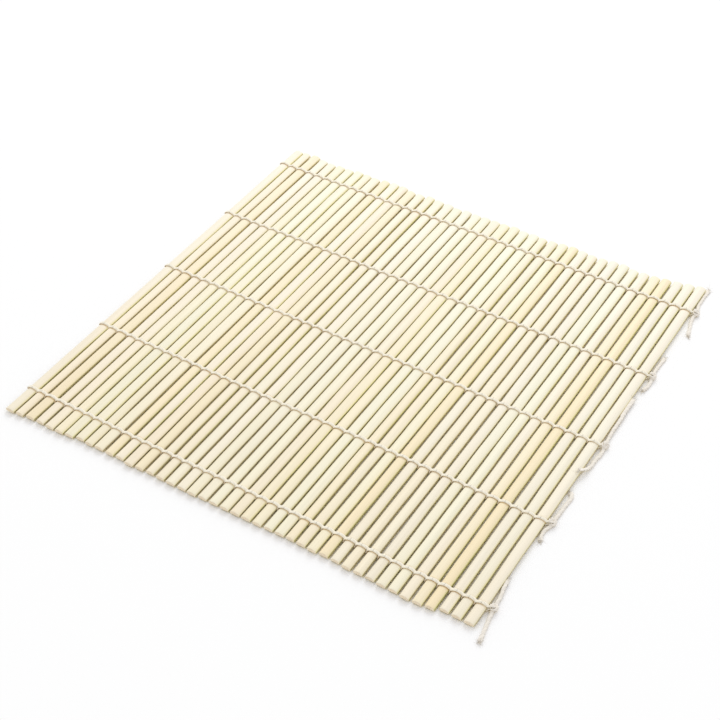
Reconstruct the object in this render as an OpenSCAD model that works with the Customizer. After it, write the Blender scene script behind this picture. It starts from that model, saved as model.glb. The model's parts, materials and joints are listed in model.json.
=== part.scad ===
// Bamboo rolling mat: thin slats lie side by side, and five rows of twined string hold them.
// In each row one string, folded round the first slat, makes two strands.
// The strands pass above and below each slat, change places in each space and end in a knot.
// X runs across the slats from the fold to the knots, Y along them and Z up.
// The origin is on the surface that the mat lies on, under its middle. Millimetres.

/* [Slats] */
// Number of slats
slat_count = 43; // [20:1:45]
// Length of each slat
slat_length = 233.2; // [120:0.2:300]
// Width of a plain slat
slat_width = 4.8; // [4:0.1:7]
// What a wide slat has more, and a narrow one less, than a plain one
width_step = 0.45; // [0:0.05:0.6]
// Height of a slat at its crown
slat_thickness = 2; // [1.6:0.1:2.4]
// Height of a slat's upright sides, below the crown
slat_side = 1; // [0.8:0.1:1.2]
// Bevel along a slat's two lower edges
slat_bevel = 0.3; // [0.1:0.05:0.4]
// Space between two slats
slat_gap = 0.78; // [0.7:0.02:1.2]
// How far the last slat has crept along from the middle one, and the first one the other way
slat_creep = 2.6; // [0:0.1:5]
// Uneven shift of each slat along its length
slat_jitter = 0.4; // [0:0.1:1]

/* [String] */
// Number of rows of string
row_count = 5; // [2:1:5]
// Distance of the outer rows from the slats' ends, on the middle slat
row_margin = 13.8; // [5:0.1:30]
// Width of a strand, flattened against the slats
strand_width = 1.1; // [0.8:0.1:1.4]
// Thickness of a strand
strand_thickness = 0.7; // [0.5:0.05:1]
// Space between the two strands where they pass each other
strand_space = 0.34; // [0.2:0.02:0.6]
// Room between a strand and the slat above or below it
strand_clearance = 0.2; // [0.15:0.05:0.4]
// Room between a strand and the slats on its two sides
side_clearance = 0.12; // [0.1:0.02:0.2]

/* [Knots] */
// Diameter of the string where it is knotted, and in the tails
string_diameter = 1.1; // [0.8:0.1:1.4]
// Radius of the string's middle line round a knot
knot_turn = 1; // [0.7:0.05:1.4]
// Tilt of a knot's two turns from flat
knot_tilt = 45; // [30:5:60]
// Shift of a knot along the slats, away from the row's middle
knot_shift = 1; // [0:0.1:1.4]
// Room between a knot and the strands that enter it, and between a knot and its tails
knot_clearance = 0.1; // [0.1:0.05:0.3]

/* [Hidden] */
$fn = 64;

// Some slats are split wider or narrower than the rest.
WIDE_SLATS = [3, 10, 17];
NARROW_SLATS = [2, 9, 28];

// Some slats have a warmer colour.
WARM_SLATS = [3, 11, 14, 24, 28, 31, 39, 40];

// Golden angle, which spreads the uneven shifts without a visible rhythm
SPREAD_ANGLE = 137.5;

// Free tails past each knot. A point gives the distance from the knot's middle across and along,
// and the height of the string's middle line.
TAIL_1_FAR = [
    [0, 1.5, 1], [-0.5, 3.2, 0.9], [-1.2, 5.6, 0.8], [-1.4, 8.4, 0.7], [-1.5, 11.4, 0.7],
    [-1.5, 14.4, 0.7], [-1.4, 17.2, 0.7], [-1.4, 19.5, 0.7]
];
TAIL_1_NEAR = [
    [0, -1.5, 1], [-0.2, -3.2, 0.9], [0, -5.6, 0.8], [0.6, -8.2, 0.7], [1.3, -10.8, 0.7],
    [2.1, -13.6, 0.7], [2.8, -16.4, 0.7]
];
TAIL_2_FAR = [
    [0, 1.5, 1], [-0.4, 3.2, 0.9], [-0.7, 5.6, 0.8], [-0.6, 8.4, 0.7], [-0.5, 11.4, 0.7],
    [-0.2, 14.6, 0.7]
];
TAIL_2_NEAR = [
    [0, -1.5, 1], [0.4, -3.2, 0.9], [0.7, -5.4, 0.8], [0.5, -7.8, 0.7], [-0.3, -10.3, 0.7]
];
TAIL_3_FAR = [
    [0, 1.5, 1], [-0.4, 3.2, 0.9], [-0.7, 6, 0.8], [-0.6, 9, 0.7], [-0.5, 12, 0.7], [-0.5, 15.2, 0.7],
    [-0.6, 18.4, 0.7], [-0.8, 21.6, 0.7], [-0.9, 24.8, 0.7], [-1, 28, 0.7], [-1.1, 30.8, 0.7],
    [-1.1, 33.4, 0.7]
];
TAIL_3_NEAR = [
    [0, -1.5, 1], [0.4, -3.2, 0.9], [0.4, -5.6, 0.8], [0, -8.4, 0.8], [-0.1, -11.2, 0.8],
    [-0.1, -13.8, 1], [-0.6, -16.2, 1.4], [-1.2, -18, 2.2], [-1.9, -19.4, 3], [-2.6, -20.6, 3.3]
];
TAIL_4_FAR = [
    [0, 1.5, 1], [0, 3.2, 0.9], [0.1, 6, 0.8], [0.2, 9, 0.7], [0.4, 12, 0.7], [0.5, 14.8, 0.7],
    [0.4, 17, 0.7], [-0.1, 18.4, 0.8], [-1.1, 19.2, 0.9]
];
TAIL_4_NEAR = [
    [0, -1.5, 1], [-0.4, -3.1, 0.9], [-1, -4.9, 0.8], [-1, -7.6, 0.7], [-0.1, -10.8, 0.7]
];
TAIL_5_FAR = [
    [0, 1.5, 1], [-0.2, 3.2, 0.9], [-0.4, 5.8, 0.8], [-0.7, 8.8, 0.7], [-1.1, 12, 0.7], [-1.5, 15.2, 0.7]
];
TAIL_5_NEAR = [
    [0, -1.5, 1], [0.4, -3.2, 0.9], [0.9, -5.8, 0.8], [1.3, -8.6, 0.7], [1.8, -11.6, 0.7],
    [2.3, -14.4, 0.7], [2.7, -16.6, 0.7]
];
TAILS = [
    [TAIL_1_FAR, TAIL_1_NEAR],
    [TAIL_2_FAR, TAIL_2_NEAR],
    [TAIL_3_FAR, TAIL_3_NEAR],
    [TAIL_4_FAR, TAIL_4_NEAR],
    [TAIL_5_FAR, TAIL_5_NEAR]
];
TAIL_SIDES = 8;

// Heights
slat_bottom = strand_thickness + strand_clearance;
shoulder_z = slat_bottom + slat_side;
crown_rise = slat_thickness - slat_side;

// The two strands in a space between slats
strand_offset = (strand_width + strand_space) / 2;
riser_thickness = slat_gap - 2 * side_clearance;
riser_bottom = strand_thickness / 2;
riser_top = shoulder_z + strand_thickness;

// Outlines across the mat, measured from the outer sides of the first and last slats
fold_reach = side_clearance + riser_thickness;
knot_radius = knot_turn + string_diameter / 2;
knot_reach = fold_reach + knot_clearance + 2 * knot_radius;

// A knot is carried at the middle of its slat's side, and its outline stays clear of the surface below.
knot_z = knot_radius + knot_clearance;

function occurs(k, list) = len([for (n = list) if (n == k) n]);
function count_below(k, list) = len([for (n = list) if (n < k) n]);

// Width of slat k, and how far its left side lies from the left side of the first slat
function width_of(k) = slat_width + width_step * (occurs(k, WIDE_SLATS) - occurs(k, NARROW_SLATS));
function run_to(k) = (k - 1) * (slat_width + slat_gap)
    + width_step * (count_below(k, WIDE_SLATS) - count_below(k, NARROW_SLATS));

// The origin is midway between the fold's outer side and the knots' outer side.
slats_across = run_to(slat_count) + width_of(slat_count);
first_side_x = (fold_reach - knot_reach - slats_across) / 2;
last_side_x = first_side_x + slats_across;
knot_x = last_side_x + knot_reach - knot_radius;

function slat_x(k) = first_side_x + run_to(k) + width_of(k) / 2;
function space_x(k) = first_side_x + run_to(k + 1) - slat_gap / 2;

// Shift of slat k along its length, which is equal and opposite for slats as far from the middle.
// The creep is slight over most of the mat and grows towards its two outer slats.
middle_slat = (slat_count + 1) / 2;
function slat_shift(k) = slat_creep * pow((k - middle_slat) / (middle_slat - 1), 3)
    + slat_jitter * sin((k - middle_slat) * SPREAD_ANGLE);

// The rows are spread evenly between the two margins, and row 1 is the farthest along +Y.
row_spacing = (slat_length - 2 * row_margin) / (row_count - 1);
function row_y(r) = row_spacing * ((row_count + 1) / 2 - r);

// Radius of a crown that meets the upright sides of a slat of width w
function crown_radius(w) = (w * w / 4 + crown_rise * crown_rise) / (2 * crown_rise);

// Height of the crown's centre line on a slat of width w
function crown_centre_z(w) = slat_bottom + slat_thickness - crown_radius(w);

// Angle from the row's line at which a strand crosses a slat of width w, in plan
function slant(w) = atan(2 * strand_offset / (w + slat_gap));

// Half the length of a strand over or under a slat of width w, from the middle of one space to the next
function half_crossing(w) = (w + slat_gap) / 2 / cos(slant(w));

// Names, numbered with two figures for slats
function slat_name(k) = str("slat_", k < 10 ? "0" : "", k);
function row_name(r) = str("string_row_", r);
function knot_name(r) = str("knot_", r);
function tails_name(r) = str("knot_tails_", r);

// A slat has a flat underside with two bevels, upright sides and a rounded crown.
module slat_outline(w) {
    intersection() {
        polygon([
            [-w / 2 + slat_bevel, 0],
            [w / 2 - slat_bevel, 0],
            [w / 2, slat_bevel],
            [w / 2, 2 * slat_thickness],
            [-w / 2, 2 * slat_thickness],
            [-w / 2, slat_bevel]
        ]);
        translate([0, slat_thickness - crown_radius(w)])
            circle(r = crown_radius(w));
    }
}

module slat(k) {
    color(occurs(k, WARM_SLATS) > 0 ? "wheat" : "cornsilk")
        translate([slat_x(k), slat_shift(k) + slat_length / 2, slat_bottom])
            rotate([90, 0, 0])
                linear_extrude(slat_length)
                    slat_outline(width_of(k));
}

// The strand above a slat follows its crown, with room for its own slant across it.
module strand_above(w) {
    slant_room = strand_width / 2 * sin(slant(w));
    inner_radius = crown_radius(w) + strand_clearance + slant_room;
    half_angle = atan2(half_crossing(w), riser_top - crown_centre_z(w));
    rotate([0, 0, slant(w)])
        translate([0, 0, crown_centre_z(w)])
            rotate([90, 0, 0])
                rotate([0, 0, 90 - half_angle])
                    rotate_extrude(angle = 2 * half_angle)
                        translate([inner_radius, -strand_width / 2])
                            square([strand_thickness, strand_width]);
}

// The strand below a slat is flat and slants the other way.
module strand_below(w) {
    rotate([0, 0, -slant(w)])
        translate([-half_crossing(w), -strand_width / 2, 0])
            cube([2 * half_crossing(w), strand_width, strand_thickness]);
}

// In a space between slats, a riser takes a strand from below one slat to above the next.
module riser(x, side) {
    translate([x - riser_thickness / 2, side * strand_offset - strand_width / 2, riser_bottom])
        cube([riser_thickness, strand_width, riser_top - riser_bottom]);
}

// The fold carries the string round the first slat, from one strand to the other.
module fold() {
    fold_width = 2 * strand_offset + strand_width;
    translate([first_side_x - fold_reach, -fold_width / 2, riser_bottom])
        cube([riser_thickness, fold_width, riser_top - riser_bottom]);
}

module string_row(r) {
    color("antiquewhite")
        translate([0, row_y(r), 0])
            union() {
                fold();
                for (k = [1:slat_count]) {
                    translate([slat_x(k), 0, 0]) {
                        strand_above(width_of(k));
                        strand_below(width_of(k));
                    }
                    riser(space_x(k), 1);
                    riser(space_x(k), -1);
                }
            }
}

// A knot is two turns of the string, pulled tight across each other.
module knot(r) {
    color("linen")
        translate([knot_x, row_y(r) + knot_shift, knot_z])
            for (side = [-1, 1])
                rotate([side * knot_tilt, 0, 0])
                    rotate_extrude()
                        translate([knot_turn, 0])
                            circle(d = string_diameter);
}

// The direction of a route at point i is that of the line between its neighbours.
function unit(v) = v / norm(v);
function heading(route, i) = unit(route[min(i + 1, len(route) - 1)] - route[max(i - 1, 0)]);

// One ring of points square to the route at point i
function ring(route, i) =
    let (ahead = heading(route, i), across = unit(cross(ahead, [0, 0, 1])), up = cross(across, ahead))
    [for (s = [0:TAIL_SIDES - 1])
        let (a = 360 * (s + 0.5) / TAIL_SIDES)
        route[i] + string_diameter / 2 * (cos(a) * across + sin(a) * up)];

// A closed tube along the route
module tube(route) {
    last = len(route) - 1;
    points = [for (i = [0:last]) each ring(route, i)];
    walls = [for (i = [0:last - 1], s = [0:TAIL_SIDES - 1])
        let (a = i * TAIL_SIDES + s, b = i * TAIL_SIDES + (s + 1) % TAIL_SIDES)
        each [[a, b, b + TAIL_SIDES], [a, b + TAIL_SIDES, a + TAIL_SIDES]]];
    ends = [
        [for (s = [TAIL_SIDES - 1:-1:0]) s],
        [for (s = [0:TAIL_SIDES - 1]) last * TAIL_SIDES + s]
    ];
    polyhedron(points = points, faces = concat(walls, ends));
}

module knot_tails(r) {
    color("linen")
        translate([knot_x, row_y(r) + knot_shift, 0])
            for (route = TAILS[r - 1])
                tube(route);
}

for (k = [1:slat_count]) slat(k);
for (r = [1:row_count]) string_row(r);
for (r = [1:row_count]) knot(r);
for (r = [1:row_count]) knot_tails(r);
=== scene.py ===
"""Looks of a sushi rolling mat: bamboo slats, twined rows of cotton string, knots and frayed tails.

The file is laid out as an add-on and run as a script. Shapes are worked out in millimetres, in the
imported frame: X across the slats towards the knots, Y along them, Z up. A mesh is written in metres.
"""

import json
import math

import bpy
import numpy as np
from bpy.props import FloatProperty, FloatVectorProperty, PointerProperty
from mathutils import Matrix, Vector


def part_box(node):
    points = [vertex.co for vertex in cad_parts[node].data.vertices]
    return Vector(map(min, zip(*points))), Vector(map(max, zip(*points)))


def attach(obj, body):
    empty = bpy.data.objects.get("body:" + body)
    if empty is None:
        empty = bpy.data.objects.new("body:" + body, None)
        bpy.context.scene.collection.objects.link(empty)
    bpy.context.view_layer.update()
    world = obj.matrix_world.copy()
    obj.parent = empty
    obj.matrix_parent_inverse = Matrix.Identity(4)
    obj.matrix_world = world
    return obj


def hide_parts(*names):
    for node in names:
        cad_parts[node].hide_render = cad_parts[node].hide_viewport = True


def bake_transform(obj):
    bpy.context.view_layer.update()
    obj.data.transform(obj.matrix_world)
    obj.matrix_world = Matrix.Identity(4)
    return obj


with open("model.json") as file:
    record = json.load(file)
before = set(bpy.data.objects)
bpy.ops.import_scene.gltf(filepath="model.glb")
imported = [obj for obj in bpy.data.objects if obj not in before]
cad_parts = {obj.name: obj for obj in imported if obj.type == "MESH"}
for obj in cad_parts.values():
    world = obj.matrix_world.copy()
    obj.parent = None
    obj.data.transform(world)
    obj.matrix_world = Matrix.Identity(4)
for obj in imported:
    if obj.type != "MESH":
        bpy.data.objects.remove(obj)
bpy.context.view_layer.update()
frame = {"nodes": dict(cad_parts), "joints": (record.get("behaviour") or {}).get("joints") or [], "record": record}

bl_info = {
    "name": "Sushi rolling mat",
    "version": (1, 0, 0),
    "blender": (4, 5, 0),
    "location": "View3D > Sidebar > Rolling mat",
    "description": "Builds the slats, strings, knots and tails of a sushi rolling mat",
    "category": "Object",
}

MM = 0.001
TURN = 2 * math.pi

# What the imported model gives: nodes in order, the body of each, and the middle of each space.
SLATS = sorted(n for n in frame["nodes"] if n.startswith("slat_"))
ROWS = sorted(n for n in frame["nodes"] if n.startswith("string_row_"))
KNOTS = sorted(n for n in frame["nodes"] if n.startswith("knot_") and "tails" not in n)
BODY_OF = {n: body for body, nodes in frame["record"]["behaviour"]["bodies"].items() for n in nodes}
SPACES = [joint["pos_m"][0] / MM for joint in frame["joints"]]
WARM = {p["node"] for p in frame["record"]["subparts"] if p.get("material_slot") == "bamboo_warm"}


def corners(node):
    """Lowest and highest corner of a CAD node, in millimetres."""
    low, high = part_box(node)
    return np.array(low) / MM, np.array(high) / MM


def middle(node):
    """Middle of a CAD node's box, in millimetres."""
    low, high = corners(node)
    return (low + high) / 2


SLAT_LOW, SLAT_HIGH = corners(SLATS[0])
SLAT_BOTTOM = float(SLAT_LOW[2])
SLAT_TOP = float(SLAT_HIGH[2])
# Height of a slat's upright side, above which its crown begins
SLAT_SIDE = 1.0
SPACE = float(corners(SLATS[1])[0][0] - SLAT_HIGH[0])
ROW_Y = [float(middle(n)[1]) for n in ROWS]
SLAT_X = [float(middle(n)[0]) for n in SLATS]
SLAT_WIDTH = [float(corners(n)[1][0] - corners(n)[0][0]) for n in SLATS]
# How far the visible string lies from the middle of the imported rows, along Y (mm)
ROW_SHIFT = -0.4

# How far each slat, from the first to the last, reaches past the outer rows of string: at its far
# end and at its near end, in millimetres, judged from the picture.
FAR_REACH = [
    13.4, 13.6, 14.3, 13.0, 12.5, 13.0, 13.0, 14.1, 13.9, 13.5, 14.3, 14.8, 14.7, 13.3, 13.3, 14.4,
    13.7, 13.6, 12.7, 13.6, 13.2, 13.5, 13.6, 13.6, 14.4, 13.5, 13.9, 13.3, 13.7, 14.5, 15.0, 14.4,
    13.8, 14.2, 15.1, 15.4, 14.1, 14.5, 14.8, 15.8, 16.8, 18.0, 19.2,
]
NEAR_REACH = [
    16.4, 16.0, 15.3, 15.1, 15.3, 15.2, 14.7, 13.7, 14.1, 13.8, 13.9, 13.6, 14.5, 14.0, 13.6, 13.8,
    13.9, 13.7, 13.9, 13.4, 13.4, 13.3, 13.3, 13.2, 13.1, 12.8, 12.7, 12.5, 12.7, 12.9, 12.4, 12.5,
    13.1, 13.0, 12.9, 13.3, 13.2, 13.7, 13.4, 12.7, 11.0, 11.1, 11.2,
]
# How far the slats' shoulders lean into each space (mm): less than 0 where the space looks open
LEAN = [
    0.16, 0.02, -0.1, 0.08, 0.14, 0.16, 0.17, 0.16, 0.17, -0.1, 0.04, 0.17, 0.14, -0.03, -0.1, 0.0,
    -0.05, 0.17, 0.07, 0.04, 0.11, 0.07, 0.17, 0.12, 0.0, 0.09, 0.16, -0.09, 0.04, 0.05, -0.1, -0.02,
    -0.1, -0.1, 0.02, 0.06, -0.03, -0.06, 0.02, -0.1, 0.01, 0.04,
]
# Slats counted from 0: the palest, the pinker ones, the greener ones, and warm ones that are less so
PALEST = {17, 19, 20, 25, 26, 34, 35, 36, 40, 41, 42}
ROSY = {0, 1, 4, 11, 12, 34, 37, 40, 42}
GREENER = {18, 20, 24}
MILD = {23, 27, 38}

# Routes of the tails, repeated from the CAD source: across, along and height, in millimetres,
# across and along measured from the knot's middle.
TAIL_ROUTES = {
    "tail_1_far": [
        (0, 1.5, 1), (-0.5, 3.2, 0.9), (-1.2, 5.6, 0.8), (-1.4, 8.4, 0.7), (-1.5, 11.4, 0.7),
        (-1.5, 14.4, 0.7), (-1.4, 17.2, 0.7), (-1.4, 19.5, 0.7),
    ],
    "tail_1_near": [
        (0, -1.5, 1), (-0.2, -3.2, 0.9), (0, -5.6, 0.8), (0.6, -8.2, 0.7), (1.3, -10.8, 0.7),
        (2.1, -13.6, 0.7), (2.8, -16.4, 0.7),
    ],
    "tail_2_far": [
        (0, 1.5, 1), (-0.4, 3.2, 0.9), (-0.7, 5.6, 0.8), (-0.6, 8.4, 0.7), (-0.5, 11.4, 0.7),
        (-0.2, 14.6, 0.7),
    ],
    "tail_2_near": [
        (0, -1.5, 1), (0.4, -3.2, 0.9), (0.7, -5.4, 0.8), (0.5, -7.8, 0.7), (-0.3, -10.3, 0.7),
    ],
    "tail_3_far": [
        (0, 1.5, 1), (-0.4, 3.2, 0.9), (-0.7, 6, 0.8), (-0.6, 9, 0.7), (-0.5, 12, 0.7),
        (-0.5, 15.2, 0.7), (-0.6, 18.4, 0.7), (-0.8, 21.6, 0.7), (-0.9, 24.8, 0.7), (-1, 28, 0.7),
        (-1.1, 30.8, 0.7), (-1.1, 33.4, 0.7),
    ],
    "tail_3_near": [
        (0, -1.5, 1), (0.4, -3.2, 0.9), (0.4, -5.6, 0.8), (0, -8.4, 0.8), (-0.1, -11.2, 0.8),
        (-0.1, -13.8, 1), (-0.6, -16.2, 1.4), (-1.2, -18, 2.2), (-1.9, -19.4, 3), (-2.6, -20.6, 3.3),
    ],
    "tail_4_far": [
        (0, 1.5, 1), (0, 3.2, 0.9), (0.1, 6, 0.8), (0.2, 9, 0.7), (0.4, 12, 0.7), (0.5, 14.8, 0.7),
        (0.4, 17, 0.7), (-0.1, 18.4, 0.8), (-1.1, 19.2, 0.9),
    ],
    "tail_4_near": [
        (0, -1.5, 1), (-0.4, -3.1, 0.9), (-1, -4.9, 0.8), (-1, -7.6, 0.7), (-0.1, -10.8, 0.7),
    ],
    "tail_5_far": [
        (0, 1.5, 1), (-0.2, 3.2, 0.9), (-0.4, 5.8, 0.8), (-0.7, 8.8, 0.7), (-1.1, 12, 0.7),
        (-1.5, 15.2, 0.7),
    ],
    "tail_5_near": [
        (0, -1.5, 1), (0.4, -3.2, 0.9), (0.9, -5.8, 0.8), (1.3, -8.6, 0.7), (1.8, -11.6, 0.7),
        (2.3, -14.4, 0.7), (2.7, -16.6, 0.7),
    ],
}
CORD_TAIL = "tail_3_far"
# How far two tails lean on the last slat past their first 3 mm: across, along and up (mm)
TAIL_LEANS = {CORD_TAIL: (-0.45, 0, 0.6), "tail_5_far": (-0.35, 0, 0.5)}
# Loose fibres stay below this height (mm), so a rolled mat's slats clear them.
FIBRE_TOP = 3.7


# Surfaces


def ripple(t, seed, size, period):
    """An uneven wave: three sines of lengths period, period / 1.9 and period / 3.7, seeded phases."""
    phase = np.random.default_rng(seed).uniform(0, TURN, 3)
    waves = [(0.5, 1.0), (0.3, 1.9), (0.2, 3.7)]
    return size * sum(a * np.sin(TURN * f * t / period + p) for (a, f), p in zip(waves, phase))


def wave_of(t, k, wave):
    """The ripple of piece k. A wave is the seed of piece 0, the size and the length."""
    seed, size, length = wave
    return ripple(t, seed + k, size, length)


def smooth(t):
    """Smooth step: 0 below 0, 1 above 1 and 3t^2 - 2t^3 between."""
    t = np.clip(t, 0, 1)
    return t * t * (3 - 2 * t)


def tube(rings, along, loop=False, **values):
    """A closed shell from rings of points, (rings, sides, 3), each ring turning from one axis to the
    next about the way ahead. Quads join each ring to the next, and a fan from each end's middle
    closes it. U runs from 0 to 1 round a ring, V is the distance along. Values are per point. In a
    loop the last ring lies on the first, so its quads join the first and it has no ends."""
    count, sides = rings.shape[:2]
    grid = np.arange(count * sides).reshape(count, sides)
    if loop:
        grid[-1] = grid[0]
    beside = np.roll(grid, -1, axis=1)
    quads = np.stack([grid[:-1], beside[:-1], beside[1:], grid[1:]], axis=-1).reshape(-1, 4)
    fan = np.full(sides, count * sides)
    tris = np.concatenate([
        np.stack([fan, beside[0], grid[0]], axis=-1),
        np.stack([fan + 1, grid[-1], beside[-1]], axis=-1),
    ])
    u = np.arange(sides + 1) / sides
    left, right = np.meshgrid(u[:-1], along, indexing="xy")[0], np.meshgrid(u[1:], along)[0]
    level = np.repeat(np.asarray(along, float)[:, None], sides, axis=1)
    uv = np.stack([
        np.stack([left[:-1], level[:-1]], -1), np.stack([right[:-1], level[:-1]], -1),
        np.stack([right[1:], level[1:]], -1), np.stack([left[1:], level[1:]], -1),
    ], axis=2).reshape(-1, 4, 2)
    ends = np.repeat([along[0], along[-1]], sides)
    uv_fan = np.stack([np.full((2 * sides, 3), 0.5), np.repeat(ends[:, None], 3, axis=1)], axis=-1)
    if loop:
        tris, uv_fan = tris[:0], uv_fan[:0]

    def per_point(field):
        """What each ring holds, point by point, then its mean at the middle of each end."""
        flat = field.reshape(-1, *field.shape[2:])
        if loop:
            return flat[:-sides]
        return np.concatenate([flat, field[:1].mean(axis=1), field[-1:].mean(axis=1)])

    points = per_point(rings)
    full = {name: per_point(np.broadcast_to(v, (count, sides))) for name, v in values.items()}
    return {"points": points, "quads": quads, "tris": tris, "uv": (uv, uv_fan), "values": full,
            "size": len(points)}


def put(name, parts, material):
    """One mesh object in metres from several closed shells, with smooth quads and flat end fans."""
    offsets = np.cumsum([0] + [p["size"] for p in parts])
    points = np.concatenate([p["points"] for p in parts]) * MM
    quads = np.concatenate([p["quads"] + o for p, o in zip(parts, offsets)])
    tris = np.concatenate([p["tris"] + o for p, o in zip(parts, offsets)])
    loops = np.concatenate([quads.ravel(), tris.ravel()])
    totals = np.concatenate([np.full(len(quads), 4), np.full(len(tris), 3)])
    starts = np.concatenate([[0], np.cumsum(totals)[:-1]])
    mesh = bpy.data.meshes.new(name)
    mesh.vertices.add(len(points))
    mesh.vertices.foreach_set("co", points.astype(np.float32).ravel())
    mesh.loops.add(len(loops))
    mesh.loops.foreach_set("vertex_index", loops.astype(np.int32))
    mesh.polygons.add(len(totals))
    mesh.polygons.foreach_set("loop_start", starts.astype(np.int32))
    mesh.polygons.foreach_set("use_smooth", totals == 4)
    uv = np.concatenate(
        [p["uv"][0].reshape(-1, 2) for p in parts] + [p["uv"][1].reshape(-1, 2) for p in parts]
    )
    mesh.uv_layers.new(name="UVMap").data.foreach_set("uv", uv.astype(np.float32).ravel())
    for key in parts[0]["values"]:
        value = np.concatenate([p["values"][key] for p in parts])
        mesh.attributes.new(key, "FLOAT", "POINT").data.foreach_set("value", value.astype(np.float32))
    mesh.update(calc_edges=True)
    mesh.validate()
    mesh.materials.append(material)
    made = bpy.data.objects.new(name, mesh)
    bpy.context.scene.collection.objects.link(made)
    return made


def curve_through(points, step):
    """Points about step apart on the Catmull-Rom curve through the given points: between two points,
    the cubic whose slopes there are half the distance between their neighbours."""
    p = np.asarray(points, float)
    p = np.concatenate([[2 * p[0] - p[1]], p, [2 * p[-1] - p[-2]]])
    share = np.linspace(0, 1, 12, endpoint=False)[None, :, None]
    a, b, c, d = (q[:, None, :] for q in (p[:-3], p[1:-2], p[2:-1], p[3:]))
    fine = 0.5 * (
        2 * b + (c - a) * share + (2 * a - 5 * b + 4 * c - d) * share**2
        + (3 * b - a - 3 * c + d) * share**3
    )
    fine = np.concatenate([fine.reshape(-1, 3), p[-2:-1]])
    run = length_along(fine)
    at = np.linspace(0, run[-1], max(3, int(round(run[-1] / step)) + 1))
    return np.stack([np.interp(at, run, fine[:, i]) for i in range(3)], axis=1)


def length_along(line):
    """Distance along a line at each of its points."""
    return np.concatenate([[0], np.cumsum(np.linalg.norm(np.diff(line, axis=0), axis=1))])


def unit(v):
    """Vectors of length one."""
    return v / np.linalg.norm(v, axis=-1, keepdims=True)


def axes_along(line, hint):
    """The way ahead at each point of a line, the direction nearest to hint that is square to it, and
    the third axis, such that second x third = ahead."""
    ahead = unit(np.gradient(line, axis=0))
    wide = unit(hint - (hint * ahead).sum(axis=-1, keepdims=True) * ahead)
    return ahead, wide, np.cross(ahead, wide)


def carry(line, hint, wide, thick, sides, twist=0.0, lobes=0, groove=0.0):
    """Rings of an oval profile carried along a line: point = centre + wide/2 cos(a) * second axis +
    thick/2 sin(a) * third axis, times 1 - groove (1 - |cos(lobes (a - twist) / 2)|), which gives the
    lobes of a twisted string."""
    _, second, third = axes_along(line, np.asarray(hint, float))
    a = np.arange(sides) * TURN / sides
    turn = np.broadcast_to(np.asarray(twist, float), len(line))[:, None]
    size = 1 - groove * (1 - np.abs(np.cos(lobes * (a - turn) / 2))) if lobes else np.ones((1, sides))
    w = np.broadcast_to(np.asarray(wide, float) / 2, len(line))[:, None, None]
    t = np.broadcast_to(np.asarray(thick, float) / 2, len(line))[:, None, None]
    across, up = np.cos(a)[None, :, None], np.sin(a)[None, :, None]
    around = w * across * second[:, None] + t * up * third[:, None]
    return line[:, None] + around * np.broadcast_to(size, (len(line), sides))[..., None]


def bent_corner(start, corner, end, count):
    """Points on the quadratic curve that leaves start towards corner and arrives at end from it."""
    t = np.linspace(0, 1, count)[:, None]
    start, corner, end = np.array(start), np.array(corner), np.array(end)
    return (1 - t) ** 2 * start + 2 * t * (1 - t) * corner + t**2 * end


# Materials


class Value:
    """A socket of numbers in a material. An operator adds the Math node that works it out."""

    def __init__(self, finish, socket):
        self.finish, self.socket = finish, socket

    def math(self, operation, *others):
        """The Math node of that operation, with this number first."""
        sockets = dict(enumerate((self, *others)))
        return self.finish.node("ShaderNodeMath", {"operation": operation}, sockets)

    def __add__(self, other):
        return self.math("ADD", other)

    def __sub__(self, other):
        return self.math("SUBTRACT", other)

    def __rsub__(self, other):
        return self * -1 + other

    def __mul__(self, other):
        return self.math("MULTIPLY", other)

    def __pow__(self, other):
        return self.math("POWER", other)

    __radd__, __rmul__ = __add__, __mul__

    def clip(self, low, high):
        """0 at low and below, 1 at high and above, straight between."""
        return self.finish.node(
            "ShaderNodeMapRange", {"clamp": True}, {"Value": self, "From Min": low, "From Max": high})

    def ease(self, low, high):
        """0 at low and below, 1 at high and above, smooth between."""
        return self.finish.node(
            "ShaderNodeMapRange", {"clamp": True, "interpolation_type": "SMOOTHSTEP"},
            {"Value": self, "From Min": low, "From Max": high})


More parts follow.
